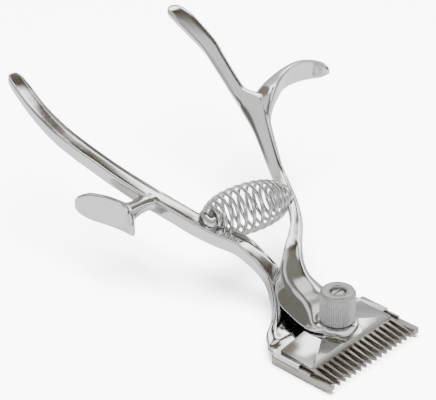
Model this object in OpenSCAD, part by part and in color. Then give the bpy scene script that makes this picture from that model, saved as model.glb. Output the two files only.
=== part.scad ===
// Hand-operated hair clipper. A fixed handle carries the comb blade, and a lever that turns on a
// stud over the blades pushes the cutter blade sideways across the comb. A barrel spring between
// the two handles opens them again. The comb lies on z = 0 with its teeth towards -Y, the stud's
// axis is Z, and the lever is on the +X side.

/* [Blades] */
// Width of the comb blade across its teeth
comb_w = 48; // [44:0.5:56]
// Depth of the comb blade from the tooth tips to its rear edge
comb_d = 27.3; // [25:0.1:32]
// Distance between neighbouring teeth on both blades
tooth_pitch = 2.73; // [2.4:0.01:3.2]
// Length of a comb tooth
tooth_len = 9.4; // [7:0.1:11]
// Width of a comb tooth at its root
tooth_w = 1.35; // [1.1:0.01:1.6]
// Thickness of the comb blade
comb_t = 3; // [2.4:0.1:3.6]
// Thickness of the cutter blade and of the frame's shoe behind it
cutter_t = 1.95; // [1.6:0.05:2.6]
// How far the cutter's tooth tips stay behind the comb's
tip_setback = 1.4; // [0.8:0.1:2]

/* [Bridge] */
// Thickness of the bridge plate at its front edge
bridge_edge_t = 1.3; // [1:0.1:1.6]
// Thickness of the bridge plate under the lever
bridge_t = 2.8; // [2.5:0.1:3.6]
// How far the open clipper's cutter stands off the middle of the comb
rest_offset = 1.25; // [1:0.05:1.4]

/* [Pivot] */
// Radius of the pivot stud
stud_r = 2.2; // [1.8:0.1:2.6]
// Radial clearance of the pieces that turn or slide on the stud and pin
turn_fit = 0.05; // [0.02:0.01:0.08]
// Gap between faces that slide on each other
slide_gap = 0.05; // [0.03:0.01:0.1]
// Angle by which the handles close
squeeze_angle = 14; // [8:1:14]
// Distance of the drive pin from the pivot's axis
drive_r = 5.4; // [5:0.1:5.6]
// Radius of the drive pin
drive_pin_r = 1; // [0.8:0.05:1.1]
// Radius of the lever's boss
boss_r = 7.4; // [7.2:0.1:9]
// Thickness of the lever's boss
boss_t = 2.7; // [2.4:0.1:3.4]

/* [Tension nut] */
// Outer radius of the knurled nut
nut_r = 6.3; // [5.8:0.1:6.8]
// Height of the knurled nut
nut_h = 11.7; // [10.4:0.1:13.4]
// Number of flutes in the knurl
flute_count = 48; // [36:2:60]
// Radius of the recess in the nut's top, which always clears the end screw's head
recess_r = 2.7; // [2.5:0.1:3.2]

/* [Handles] */
// Width of the fixed handle's bar at its middle
fixed_bar_w = 6.8; // [5.5:0.1:8]
// Height of the fixed handle's bar at its middle
fixed_bar_h = 6.4; // [5:0.1:7.5]
// Width of the lever's bar at its middle
lever_bar_w = 6; // [5:0.1:7]
// Height of the lever's bar at its middle
lever_bar_h = 4.4; // [3.8:0.1:5.5]
// Height of the thumb rest
thumb_rest_h = 12.5; // [10:0.5:15]
// Thickness of the thumb rest
thumb_rest_t = 2.2; // [1.8:0.1:3]
// Thickness of the finger tang
tang_t = 2.8; // [2.3:0.1:3.4]
// Height of the finger tang at its widest
tang_h = 9; // [7.5:0.5:10.5]

/* [Barrel spring] */
// Radius of the wire's centre line at the barrel's middle
coil_mid_r = 8.8; // [7.5:0.1:10]
// Radius of the wire's centre line at the barrel's ends
coil_end_r = 5; // [4.6:0.1:6]
// Radius of the spring wire
wire_r = 0.7; // [0.5:0.05:0.8]
// Number of turns
coil_turns = 11.5; // [9:0.5:12.5]

/* [Fasteners] */
// Radius of the comb screws' thread
comb_screw_r = 1.5; // [1.2:0.1:1.8]
// Distance of each comb screw from the middle
comb_screw_x = 13; // [10:0.5:16]
// Radius of the rivets that join the cutter to the bridge
rivet_r = 1.2; // [0.9:0.1:1.5]

/* [Hidden] */
$fn = 64;
eps = 0.01;
comb_front_y = -17.9;
comb_rear_y = comb_front_y + comb_d;
tooth_root_y = comb_front_y + tooth_len;
tooth_gap = tooth_pitch - tooth_w;
tip_w = 0.8;
guard_min_w = 2.6;
// Number of teeth on each side of the middle one
side_teeth = floor((comb_w / 2 - guard_min_w - tooth_gap - tooth_w / 2) / tooth_pitch);
guard_inner_x = side_teeth * tooth_pitch + tooth_w / 2 + tooth_gap;
cutter_half_w = (side_teeth + 0.5) * tooth_pitch + tooth_w / 2;
rail_w = 1;
rail_h = 0.9;
comb_tip_t = 1.5;
comb_corner_r = 1.2;

// Heights of the stack on the stud, from the comb's sole upwards
shoe_top_z = comb_t + cutter_t;
cutter_z = comb_t + slide_gap;
bridge_z = shoe_top_z + slide_gap;
bridge_top_z = bridge_z + bridge_t;
boss_z = bridge_top_z + slide_gap;
boss_top_z = boss_z + boss_t;
washer_z = boss_top_z + slide_gap;
nut_z = boss_top_z + 0.15;
nut_top_z = nut_z + nut_h;

// The shoe is the flat front of the fixed handle, on the comb's rear part
shoe_front_y = -3.4;
cutter_rear_y = shoe_front_y - slide_gap;
bridge_front_y = -8;
bridge_crest_y = -7.3;
bridge_rear_y = 6.2;
bridge_half_w = cutter_half_w - 0.15;
stroke = drive_r * squeeze_angle * PI / 180;

stud_head_r = stud_r + 1;
stud_head_t = 1.1;
stud_head_z = comb_t - stud_head_t;
stud_top_z = nut_top_z - 1.8;
washer_r = stud_r + 1.9;
washer_t = 0.6;
nut_bore_z = nut_z + 6.6;
nut_cavity_r = washer_r + 0.2;
end_screw_r = 0.9;
end_screw_len = 4;
end_screw_head_t = 1.1;
end_screw_head_r = stud_r + 0.2;
head_fit = 0.1;
recess_wall_r = max(recess_r, end_screw_head_r + head_fit);
drive_pin_z = bridge_z + 0.4;

comb_screw_y = 3;
comb_screw_head_r = comb_screw_r + 1.2;
comb_screw_head_z = 0.15;
comb_screw_cone_t = 1.2;
rivet_x = 14;
rivet_y = -5.7;
rivet_top_z = bridge_z + 1.1;

// Ends of the barrel spring's axis, on the seat bosses of the two handles
spring_fixed_end = [-1.7, 59.6, shoe_top_z + 21.9];
spring_lever_end = [31.2, 53.8, shoe_top_z + 20.3];
spring_axis = (spring_lever_end - spring_fixed_end) / norm(spring_lever_end - spring_fixed_end);
seat_r = coil_end_r + wire_r - 1;
seat_depth = 3.4;
peg_r = coil_end_r - wire_r - 0.4;
peg_shank_r = 1.6;
peg_len = 4;
spring_fit = 0.7;
spring_room_depth = 8;

// Both bars are swept through rows of [x, y, z, width, height, groove depth, bottom flare, roll].
// The fixed handle's fan narrows from the comb's rear edge to the neck of the bar.
neck_y = 33;
neck_w = 8;
fixed_bar_rows = [
    [0, comb_rear_y - 4, comb_t + cutter_t / 2, comb_w - 1.6, cutter_t - 0.4, 0, 0, 0],
    [0, comb_rear_y - 0.8, comb_t + cutter_t / 2, comb_w - 1.2, cutter_t - 0.2, 0, 0, 0],
    [0.1, comb_rear_y + 0.8, comb_t + cutter_t / 2 + 0.3, comb_w - 3, cutter_t + 0.4, 0.3, 0, 0],
    [0.4, fan_y(0.15), shoe_top_z - 0.25, fan_w(0.78), 2.9, 0.7, 0, 0],
    [1.2, fan_y(0.32), shoe_top_z + 0.85, fan_w(0.5), 3.6, 1, 0, 0],
    [2.2, fan_y(0.53), shoe_top_z + 2.4, fan_w(0.29), 4.4, 1.2, 0, 0],
    [3, fan_y(0.77), shoe_top_z + 4.7, fan_w(0.13), 5.2, 1, 0, 0],
    [3.4, neck_y, shoe_top_z + 7.1, neck_w, 5.2, 0.7, 0, 0],
    [3.6, 37.7, shoe_top_z + 9.6, 7.2, 5, 0.7, 0, 0],
    [3.3, 42, shoe_top_z + 12.3, 7.8, 5.2, 0.8, 0, 0],
    [1.6, 47.6, shoe_top_z + 15.2, 7.6, 6, 1.2, 0, 0],
    [-2, 54.6, shoe_top_z + 17.8, 8, 6.2, 1.2, 0, 0],
    [-5, 62.8, shoe_top_z + 20.3, 7.2, fixed_bar_h, 0.9, 0, 0],
    [-6.1, 70.4, shoe_top_z + 22, fixed_bar_w, fixed_bar_h, 0.7, 0, 0],
    [-7.4, 79.2, shoe_top_z + 23.9, fixed_bar_w + 0.2, fixed_bar_h, 0.6, 0, 0],
    [-8.6, 88, shoe_top_z + 25.8, fixed_bar_w + 0.2, fixed_bar_h, 0.6, 0, 0],
    [-9.6, 99.8, shoe_top_z + 28.4, fixed_bar_w, fixed_bar_h, 0.6, 0, 0],
    [-10.2, 108.6, shoe_top_z + 30.6, fixed_bar_w - 0.3, fixed_bar_h, 0.6, 0, 0],
    [-10.8, 118.4, shoe_top_z + 33.2, fixed_bar_w, 6.2, 0.6, 0, 0],
    [-10.5, 130.2, shoe_top_z + 36, 6.8, 5.8, 0.7, 0, 0],
    [-8.5, 143.8, shoe_top_z + 39.6, 6.6, 5, 0.6, 0, 0],
    [-4.9, 157.4, shoe_top_z + 43.2, 6.6, 4.2, 0.4, 0, 0],
    [-3.2, 163.6, shoe_top_z + 45, 5.8, 3.6, 0.2, 0, 0],
    [-2.4, 166.8, shoe_top_z + 46.2, 2.6, 1.8, 0, 0, 0]
];
lever_bar_rows = [
    [0, -1, boss_z + 1.5, 2 * boss_r - 0.8, 3, 0, 0.02, 0],
    [0, 3.5, boss_z + 1.5, 2 * boss_r + 4.4, 3, 0, 0.06, 0],
    [0.3, 8, boss_z + 2.4, 20.6, 4.4, 0, 0.12, 0],
    [1, 13, boss_z + 3.65, 20, 5.4, 0, 0.2, 0],
    [2.2, 18.5, boss_z + 5.15, 17.6, 6, 0, 0.26, 0],
    [4.6, 24, boss_z + 7.05, 13, 6.2, 0, 0.22, 0],
    [8.4, 28.2, boss_z + 9.5, 9, 5.6, 0, 0.12, 0],
    [12.8, 31.8, shoe_top_z + 14.4, 6.8, 5, 0, 0.04, 0],
    [18, 35.6, shoe_top_z + 15.4, 5.4, 4.8, 0, 0, 0],
    [24.6, 40.8, shoe_top_z + 16.4, 4.8, 5, 0, 0, 0],
    [31.4, 48.4, shoe_top_z + 17.8, 4.4, 5.2, 0, 0, 6],
    [36.6, 56.7, shoe_top_z + 19.7, 4.8, 5, 0.1, 0, 12],
    [41, 64.5, shoe_top_z + 21.4, lever_bar_w - 0.4, lever_bar_h + 0.2, 0.1, 0, 18],
    [45.5, 71.5, shoe_top_z + 23.4, lever_bar_w - 0.2, lever_bar_h + 0.1, 0.1, 0, 22],
    [54.4, 86, shoe_top_z + 27.9, lever_bar_w, lever_bar_h, 0.1, 0, 22],
    [59.7, 97.5, shoe_top_z + 31.5, lever_bar_w, lever_bar_h, 0.1, 0, 22],
    [64.4, 108, shoe_top_z + 34.3, lever_bar_w, lever_bar_h, 0.1, 0, 22],
    [71.4, 125, shoe_top_z + 39.6, lever_bar_w + 0.2, 4.1, 0.1, 0, 22],
    [74.8, 134, shoe_top_z + 42.5, 6.4, 3.9, 0.1, 0, 18],
    [77.3, 149, shoe_top_z + 47.4, 6.9, 3.5, 0.1, 0, 12],
    [77.9, 155.4, shoe_top_z + 49.4, 6.3, 3, 0, 0, 8],
    [78.2, 158.6, shoe_top_z + 50.3, 4.8, 2.4, 0, 0, 6],
    [78.3, 160.2, shoe_top_z + 50.7, 2.2, 1.4, 0, 0, 4]
];
tang_rows = [
    [51.7, 80.8, shoe_top_z + 27.6, 3.6, 3.4, 0, 0, 14],
    [55.1, 85.1, shoe_top_z + 29.2, 5.4, 4.2, 0, 0, 12],
    [59.2, 90.1, shoe_top_z + 31.2, 8.4, 4.6, 0, 0, 8],
    [63.9, 93.8, shoe_top_z + 33.0, 9.6, 5.2, 0, 0, 4],
    [71.1, 96.9, shoe_top_z + 34.4, 7.8, tang_h * 0.72, 0, 0, 0],
    [81.8, 100.7, shoe_top_z + 34.4, tang_t + 1.6, tang_h * 0.88, 0, 0, 0],
    [89.3, 102.0, shoe_top_z + 34.2, tang_t + 0.4, tang_h * 0.97, 0, 0, 0],
    [95.0, 101.6, shoe_top_z + 34.0, tang_t, tang_h, 0, 0, 0],
    [99.1, 99.7, shoe_top_z + 33.8, tang_t - 0.2, tang_h * 0.94, 0, 0, 0],
    [101.8, 96.6, shoe_top_z + 33.8, tang_t - 0.4, tang_h * 0.78, 0, 0, 0],
    [102.7, 94.5, shoe_top_z + 33.8, tang_t - 0.8, tang_h * 0.54, 0, 0, 0],
    [102.6, 92.7, shoe_top_z + 33.8, tang_t * 0.5, tang_h * 0.26, 0, 0, 0]
];
thumb_rest_rows = [
    [-23.2, 108.4, shoe_top_z + 19, thumb_rest_t * 0.5, thumb_rest_h * 0.3, 0, 0, 0],
    [-22.4, 106.8, shoe_top_z + 19, thumb_rest_t * 0.8, thumb_rest_h * 0.62, 0, 0, 0],
    [-20.4, 102.6, shoe_top_z + 19, thumb_rest_t, thumb_rest_h * 0.92, 0, 0, 0],
    [-18.4, 96, shoe_top_z + 19, thumb_rest_t, thumb_rest_h, 0, 0, 0],
    [-18, 89.4, shoe_top_z + 19.4, thumb_rest_t, thumb_rest_h, 0, 0, 0],
    [-19.2, 83.2, shoe_top_z + 20.4, thumb_rest_t, thumb_rest_h * 0.96, 0, 0, 0],
    [-21.6, 79, shoe_top_z + 21.4, thumb_rest_t * 0.8, thumb_rest_h * 0.7, 0, 0, 0],
    [-22.6, 77.6, shoe_top_z + 21.8, thumb_rest_t * 0.5, thumb_rest_h * 0.36, 0, 0, 0]
];
thumb_stem_rows = [
    [-8.4, 82.4, shoe_top_z + 24.8, 8.6, 5, 0, 0, 0],
    [-13, 82.8, shoe_top_z + 24.4, 6.4, 5, 0, 0, 0],
    [-16.4, 84, shoe_top_z + 23.4, 6.6, 5.6, 0, 0, 0],
    [-18.6, 85, shoe_top_z + 22.4, 8.4, 6.4, 0, 0, 0]
];

// Place and width of the fan at a share of the way from the comb's rear edge to the neck
function fan_y(share) = mix(comb_rear_y, neck_y, share);
function fan_w(share) = mix(neck_w, comb_w, share);

// Vector helpers
function unit(v) = v / norm(v);
function mix(a, b, t) = a + (b - a) * t;

// Catmull-Rom curve through rows of numbers
function row_at(rows, i) = rows[max(0, min(len(rows) - 1, i))];
function curve(rows, i, t) =
    let (p0 = row_at(rows, i - 1), p1 = row_at(rows, i), p2 = row_at(rows, i + 1), p3 = row_at(rows, i + 2))
    0.5 * (2 * p1 + (p2 - p0) * t + (2 * p0 - 5 * p1 + 4 * p2 - p3) * t * t
        + (3 * p1 - p0 - 3 * p2 + p3) * t * t * t);
function stations(rows, steps) = concat(
    [for (i = [0 : len(rows) - 2], k = [0 : steps - 1]) curve(rows, i, k / steps)],
    [rows[len(rows) - 1]]
);

// Rounded oblong section across a bar, with a groove along its top and a flared bottom
function power(c, e) = sign(c) * pow(abs(c), e);
function section_point(row, angle) =
    let (a = power(cos(angle), 0.62), b = power(sin(angle), 0.62), groove = max(0, 1 - pow(a / 0.72, 2)))
    [a * row[3] / 2 * (1 - row[6] * b), b * row[4] / 2 - (b > 0 ? groove * row[5] : 0)];
function ring(row, ahead, sides) =
    let (side0 = unit(cross(ahead, [0, 0, 1])), up0 = cross(side0, ahead),
        side = cos(row[7]) * side0 + sin(row[7]) * up0, up = cos(row[7]) * up0 - sin(row[7]) * side0)
    [for (k = [0 : sides - 1])
        let (p = section_point(row, 360 * (k + 0.5) / sides))
        [row[0], row[1], row[2]] + p[0] * side + p[1] * up];

// A solid through rings of equal size, closed at both ends
module skin(rings) {
    sides = len(rings[0]);
    last = len(rings) - 1;
    points = [for (r = rings, p = r) p];
    walls = [for (i = [0 : last - 1], k = [0 : sides - 1])
        let (n = (k + 1) % sides)
        each [[i * sides + k, i * sides + n, (i + 1) * sides + n],
            [i * sides + k, (i + 1) * sides + n, (i + 1) * sides + k]]];
    caps = [[for (k = [sides - 1 : -1 : 0]) k], [for (k = [0 : sides - 1]) last * sides + k]];
    polyhedron(points = points, faces = concat(walls, caps), convexity = 8);
}

module bar(rows, steps, sides) {
    at = stations(rows, steps);
    last = len(at) - 1;
    place = function (i) [at[i][0], at[i][1], at[i][2]];
    skin([for (i = [0 : last])
        ring(at[i], unit(place(min(last, i + 1)) - place(max(0, i - 1))), sides)]);
}

module cylinder_between(a, b, r) {
    d = b - a;
    translate(a)
        rotate([0, acos(d[2] / norm(d)), atan2(d[1], d[0])])
            cylinder(h = norm(d), r = r);
}

// Outline of one tapered tooth that points to -Y, with a round tip
module tooth(x, root_y, tip_y, root_w) {
    translate([x, 0]) {
        polygon([[-root_w / 2, root_y + 1], [-root_w / 2, root_y], [-tip_w / 2, tip_y + tip_w / 2],
            [tip_w / 2, tip_y + tip_w / 2], [root_w / 2, root_y], [root_w / 2, root_y + 1]]);
        translate([0, tip_y + tip_w / 2])
            circle(r = tip_w / 2, $fn = 24);
    }
}

// Extrusion along X of a profile drawn in Y and Z
module along_x(half_w) {
    rotate([90, 0, 90])
        translate([0, 0, -half_w])
            linear_extrude(2 * half_w)
                children();
}

module comb_outline() {
    half = comb_w / 2;
    guard_w = half - guard_inner_x;
    translate([-half, tooth_root_y])
        square([comb_w, comb_rear_y - comb_corner_r - tooth_root_y]);
    translate([-half + comb_corner_r, comb_rear_y - comb_corner_r - 1])
        square([comb_w - 2 * comb_corner_r, comb_corner_r + 1]);
    for (s = [-1, 1])
        translate([s * (half - comb_corner_r), comb_rear_y - comb_corner_r])
            circle(r = comb_corner_r);
    for (i = [-side_teeth : side_teeth])
        tooth(i * tooth_pitch, tooth_root_y, comb_front_y, tooth_w);
    for (s = [-1, 1])
        translate([s * (half - guard_w / 2), 0]) {
            translate([-guard_w / 2, comb_front_y + guard_w / 2])
                square([guard_w, tooth_len]);
            translate([0, comb_front_y + guard_w / 2])
                circle(r = guard_w / 2);
        }
}

module comb_blade() {
    half = comb_w / 2;
    color("#8f8b7e")
        difference() {
            union() {
                intersection() {
                    linear_extrude(comb_t)
                        comb_outline();
                    along_x(half + 1)
                        polygon([[comb_rear_y + 1, 0], [tooth_root_y, 0], [comb_front_y, comb_t - comb_tip_t],
                            [comb_front_y - 1, comb_t - comb_tip_t], [comb_front_y - 1, comb_t],
                            [comb_rear_y + 1, comb_t]]);
                }
                for (s = [-1, 1])
                    translate([s * (half - rail_w / 2) - rail_w / 2, tooth_root_y, comb_t - eps])
                        cube([rail_w, shoe_front_y - slide_gap - tooth_root_y, rail_h + eps]);
            }
            translate([0, 0, stud_head_z])
                cylinder(h = stud_head_t + 1, r = stud_head_r);
            for (s = [-1, 1])
                translate([s * comb_screw_x, comb_screw_y, 0])
                    comb_screw_hole();
        }
}

// Space for a countersunk screw that enters the comb from below
module comb_screw_hole() {
    translate([0, 0, -1])
        cylinder(h = comb_screw_head_z + 1, r = comb_screw_head_r);
    translate([0, 0, comb_screw_head_z])
        cylinder(h = comb_screw_cone_t, r1 = comb_screw_head_r, r2 = comb_screw_r);
    cylinder(h = comb_t + 1, r = comb_screw_r);
}

module comb_screws() {
    slot_w = 0.7;
    slot_t = 0.7;
    color("#9a978c")
        for (s = [-1, 1])
            translate([s * comb_screw_x, comb_screw_y, comb_screw_head_z])
                difference() {
                    union() {
                        cylinder(h = comb_screw_cone_t, r1 = comb_screw_head_r, r2 = comb_screw_r);
                        cylinder(h = shoe_top_z - comb_screw_head_z, r = comb_screw_r);
                    }
                    translate([-comb_screw_head_r - 1, -slot_w / 2, -1])
                        cube([2 * comb_screw_head_r + 2, slot_w, slot_t + 1]);
                }
}

module cutter_blade() {
    tip_y = comb_front_y + tip_setback;
    cutter_tip_t = 0.55;
    slope_y = bridge_front_y - 0.5;
    slide_x = -rest_offset;
    color("#8a867a")
        difference() {
            intersection() {
                translate([slide_x, 0, cutter_z])
                    linear_extrude(cutter_t) {
                        translate([-cutter_half_w, tooth_root_y])
                            square([2 * cutter_half_w, cutter_rear_y - tooth_root_y]);
                        for (i = [-side_teeth - 1 : side_teeth])
                            tooth((i + 0.5) * tooth_pitch, tooth_root_y, tip_y, tooth_w);
                    }
                along_x(comb_w)
                    polygon([[0, cutter_z], [tip_y - 1, cutter_z], [tip_y - 1, cutter_z + cutter_tip_t],
                        [tip_y, cutter_z + cutter_tip_t], [slope_y, cutter_z + cutter_t],
                        [0, cutter_z + cutter_t]]);
            }
            for (s = [-1, 1])
                translate([slide_x + s * rivet_x, rivet_y, comb_t])
                    cylinder(h = cutter_t + 1, r = rivet_r);
        }
}

module cutter_rivets() {
    rivet_z = cutter_z + 0.1;
    color("#9a978c")
        for (s = [-1, 1])
            translate([s * rivet_x - rest_offset, rivet_y, rivet_z])
                cylinder(h = rivet_top_z - rivet_z, r = rivet_r);
}

// Plate that rides over the shoe, carries the cutter and takes the lever's drive pin
module bridge_plate() {
    wing_t = 0.9;
    crown_x = 9;
    hub_top_r = boss_r + 0.2;
    color("#c9cacb")
        difference() {
            union() {
                intersection() {
                    translate([-rest_offset, bridge_rear_y, bridge_z])
                        rotate([90, 0, 0])
                            linear_extrude(bridge_rear_y - bridge_front_y)
                                polygon([[-bridge_half_w, 0], [bridge_half_w, 0], [bridge_half_w, wing_t],
                                    [crown_x, bridge_t], [-crown_x, bridge_t], [-bridge_half_w, wing_t]]);
                    bridge_slope(5.8);
                }
                intersection() {
                    translate([0, 0, bridge_z])
                        cylinder(h = bridge_t, r1 = hub_top_r + 2.2, r2 = hub_top_r);
                    bridge_slope(2.6);
                }
            }
            stud_slot();
            drive_slot();
            for (s = [-1, 1])
                translate([s * rivet_x - rest_offset, rivet_y, bridge_z - 1])
                    cylinder(h = rivet_top_z - bridge_z + 1, r = rivet_r);
        }
}

// Bar along X whose top slopes up from the bridge's front edge over the given depth
module bridge_slope(depth) {
    translate([0, 0, bridge_z])
        along_x(comb_w)
            polygon([[bridge_rear_y, 0], [bridge_front_y, 0], [bridge_front_y, 0.3],
                [bridge_crest_y, bridge_edge_t], [bridge_crest_y + depth, bridge_t],
                [bridge_rear_y, bridge_t]]);
}

// Slot along X that lets the bridge slide past the stud
module stud_slot() {
    r = stud_r + turn_fit;
    for (x = [-stroke - 4 * turn_fit, 2 * turn_fit])
        translate([x, 0, bridge_z - 1])
            cylinder(h = bridge_t + 2, r = r);
    translate([-stroke - 4 * turn_fit, -r, bridge_z - 1])
        cube([stroke + 6 * turn_fit, 2 * r, bridge_t + 2]);
}

// Slot along Y that follows the drive pin's arc
module drive_slot() {
    r = drive_pin_r + turn_fit;
    near_y = -drive_r * cos(squeeze_angle) + turn_fit;
    for (y = [-drive_r - turn_fit, near_y])
        translate([0, y, bridge_z - 1])
            cylinder(h = bridge_t + 2, r = r);
    translate([-r, -drive_r - turn_fit, bridge_z - 1])
        cube([2 * r, near_y + drive_r + turn_fit, bridge_t + 2]);
}

module fixed_handle() {
    shoe_half = comb_w / 2 - 0.2;
    color("#cfd0d2")
        difference() {
            union() {
                translate([-shoe_half, shoe_front_y, comb_t])
                    cube([2 * shoe_half, comb_rear_y - comb_corner_r - shoe_front_y, cutter_t]);
                bar(fixed_bar_rows, 3, 16);
                bar(thumb_rest_rows, 2, 12);
                bar(thumb_stem_rows, 2, 12);
                spring_seat(spring_fixed_end, -spring_axis);
            }
            spring_seat_hole(spring_fixed_end, -spring_axis);
            spring_room(spring_fixed_end, -spring_axis);
            translate([0, 0, comb_t - 1])
                cylinder(h = cutter_t + 2, r = stud_r);
            for (s = [-1, 1])
                translate([s * comb_screw_x, comb_screw_y, comb_t - 1])
                    cylinder(h = cutter_t + 2, r = comb_screw_r);
        }
}

module pivot_stud() {
    color("#a8a69c")
        difference() {
            union() {
                translate([0, 0, stud_head_z])
                    cylinder(h = stud_head_t, r = stud_head_r);
                translate([0, 0, stud_head_z])
                    cylinder(h = stud_top_z - stud_head_z, r = stud_r);
            }
            translate([0, 0, stud_top_z - end_screw_len])
                cylinder(h = end_screw_len + 1, r = end_screw_r);
        }
}

module stud_end_screw() {
    slot_w = 0.6;
    slot_t = 0.6;
    color("#a8a69c")
        difference() {
            union() {
                translate([0, 0, stud_top_z])
                    cylinder(h = end_screw_head_t, r = end_screw_head_r);
                translate([0, 0, stud_top_z - end_screw_len + 0.3])
                    cylinder(h = end_screw_len - 0.3 + eps, r = end_screw_r);
            }
            translate([-end_screw_head_r - 1, -slot_w / 2, stud_top_z + end_screw_head_t - slot_t])
                cube([2 * end_screw_head_r + 2, slot_w, slot_t + 1]);
        }
}

module thrust_washer() {
    color("#b5a36a")
        translate([0, 0, washer_z])
            difference() {
                cylinder(h = washer_t, r = washer_r);
                translate([0, 0, -1])
                    cylinder(h = washer_t + 2, r = stud_r + turn_fit);
            }
}

// Small helical spring inside the nut, which presses the lever and bridge on the cutter
module pressure_spring() {
    turns = 4;
    steps = 20;
    wire = 0.45;
    coil_r = stud_r + 0.4 + wire;
    low = washer_z + washer_t + wire;
    high = nut_bore_z - wire;
    color("#8d8f92")
        skin([for (i = [0 : turns * steps])
            let (a = 360 * i / steps, z = mix(low, high, i / (turns * steps)),
                out = [cos(a), sin(a), 0])
            [for (k = [0 : 7])
                coil_r * out + [0, 0, z] + wire * (cos(45 * k) * out + sin(45 * k) * [0, 0, 1])]]);
}

module tension_nut() {
    flute_t = 0.28;
    flute_step = 360 / flute_count;
    collar_h = 1;
    color("#a3a3a1")
        translate([0, 0, nut_z])
            difference() {
                union() {
                    linear_extrude(nut_h - 0.6)
                        polygon([for (i = [0 : flute_count - 1], k = [0 : 3])
                            let (r = nut_r - (k < 2 ? 0 : flute_t), a = flute_step * (i + k / 4))
                            r * [cos(a), sin(a)]]);
                    translate([0, 0, nut_h - collar_h])
                        cylinder(h = collar_h, r1 = nut_r - flute_t, r2 = nut_r - flute_t - 0.35);
                }
                translate([0, 0, -1])
                    cylinder(h = nut_bore_z - nut_z + 1, r = nut_cavity_r);
                cylinder(h = nut_h, r = stud_r + turn_fit);
                translate([0, 0, stud_top_z - nut_z - 0.1])
                    cylinder(h = nut_h, r = recess_wall_r);
            }
}

module moving_lever() {
    color("#c6c7ca")
        difference() {
            union() {
                translate([0, 0, boss_z])
                    cylinder(h = boss_t, r = boss_r);
                bar(lever_bar_rows, 3, 16);
                bar(tang_rows, 2, 12);
                spring_seat(spring_lever_end, spring_axis);
            }
            spring_seat_hole(spring_lever_end, spring_axis);
            spring_room(spring_lever_end, spring_axis);
            translate([0, 0, boss_z - 1])
                cylinder(h = boss_t + 4, r = stud_r + turn_fit);
            translate([0, -drive_r, boss_z - 1])
                cylinder(h = boss_t + 2, r = drive_pin_r);
            translate([0, 0, boss_top_z])
                cylinder(h = 20, r = nut_r + 0.4);
        }
}

module drive_pin() {
    color("#a8a69c")
        translate([0, -drive_r, drive_pin_z])
            cylinder(h = boss_top_z - drive_pin_z, r = drive_pin_r);
}

// Round boss on a handle, from the spring's end into the bar along outward
module spring_seat(end, outward) {
    cylinder_between(end, end + seat_depth * outward, seat_r);
}

module spring_seat_hole(end, outward) {
    cylinder_between(end - outward, end + seat_depth * outward, peg_shank_r);
}

// Flared spot face in front of a seat, which keeps the handle clear of the spring's turns
module spring_room(end, outward) {
    inward = -outward;
    translate(end)
        rotate([0, acos(inward[2]), atan2(inward[1], inward[0])])
            cylinder(h = spring_room_depth, r1 = coil_end_r + wire_r + spring_fit,
                r2 = coil_mid_r + wire_r + spring_fit);
}

// Peg whose shank is pressed in a seat and whose head holds the spring's end
module spring_peg(end, outward) {
    color("#b9babc") {
        cylinder_between(end, end + seat_depth * outward, peg_shank_r);
        cylinder_between(end, end - peg_len * outward, peg_r);
    }
}

module fixed_spring_peg() {
    spring_peg(spring_fixed_end, -spring_axis);
}

module lever_spring_peg() {
    spring_peg(spring_lever_end, spring_axis);
}

// Barrel-shaped compression spring between the handles
module barrel_spring() {
    steps = 18;
    count = coil_turns * steps;
    across = unit(cross(spring_axis, [0, 0, 1]));
    upward = cross(across, spring_axis);
    start = spring_fixed_end + (wire_r + 0.2) * spring_axis;
    length = norm(spring_lever_end - spring_fixed_end) - 2 * wire_r - 0.4;
    color("#b4b6b8")
        skin([for (i = [0 : count])
            let (u = i / count, a = 360 * i / steps, r = mix(coil_end_r, coil_mid_r, pow(sin(180 * u), 0.8)),
                out = cos(a) * across + sin(a) * upward)
            [for (k = [7 : -1 : 0])
                start + u * length * spring_axis + r * out
                    + wire_r * (cos(45 * k) * out + sin(45 * k) * spring_axis)]]);
}

fixed_handle();
comb_blade();
comb_screws();
pivot_stud();
stud_end_screw();
fixed_spring_peg();
barrel_spring();
thrust_washer();
pressure_spring();
tension_nut();
moving_lever();
drive_pin();
lever_spring_peg();
cutter_blade();
bridge_plate();
cutter_rivets();
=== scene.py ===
import math

import bmesh
import bpy
import numpy as np
from mathutils import Matrix, Vector


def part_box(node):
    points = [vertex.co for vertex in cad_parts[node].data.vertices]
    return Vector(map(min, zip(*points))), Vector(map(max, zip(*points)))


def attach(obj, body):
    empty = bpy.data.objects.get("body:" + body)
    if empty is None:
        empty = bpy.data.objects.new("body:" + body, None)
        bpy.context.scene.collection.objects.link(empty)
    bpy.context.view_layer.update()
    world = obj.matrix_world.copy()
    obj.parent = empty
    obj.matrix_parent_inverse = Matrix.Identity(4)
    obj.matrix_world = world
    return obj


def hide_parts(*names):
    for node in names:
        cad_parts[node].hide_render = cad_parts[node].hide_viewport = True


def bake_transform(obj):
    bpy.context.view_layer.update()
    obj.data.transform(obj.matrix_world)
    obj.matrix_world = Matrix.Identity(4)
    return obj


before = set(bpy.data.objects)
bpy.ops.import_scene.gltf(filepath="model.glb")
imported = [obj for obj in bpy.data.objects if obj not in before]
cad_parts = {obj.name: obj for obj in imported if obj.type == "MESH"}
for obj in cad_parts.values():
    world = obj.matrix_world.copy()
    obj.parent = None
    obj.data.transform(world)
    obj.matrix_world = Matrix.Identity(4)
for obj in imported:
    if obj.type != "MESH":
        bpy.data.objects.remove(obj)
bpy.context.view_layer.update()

MM = 0.001

# ---------------------------------------------------------------------------
# Sizes in millimetres. The stack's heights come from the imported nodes.
# ---------------------------------------------------------------------------


def low(node):
    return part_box(node)[0] / MM


def high(node):
    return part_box(node)[1] / MM


SLIDE_GAP = 0.05
TURN_FIT = 0.05
SQUEEZE = math.radians(14)

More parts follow.
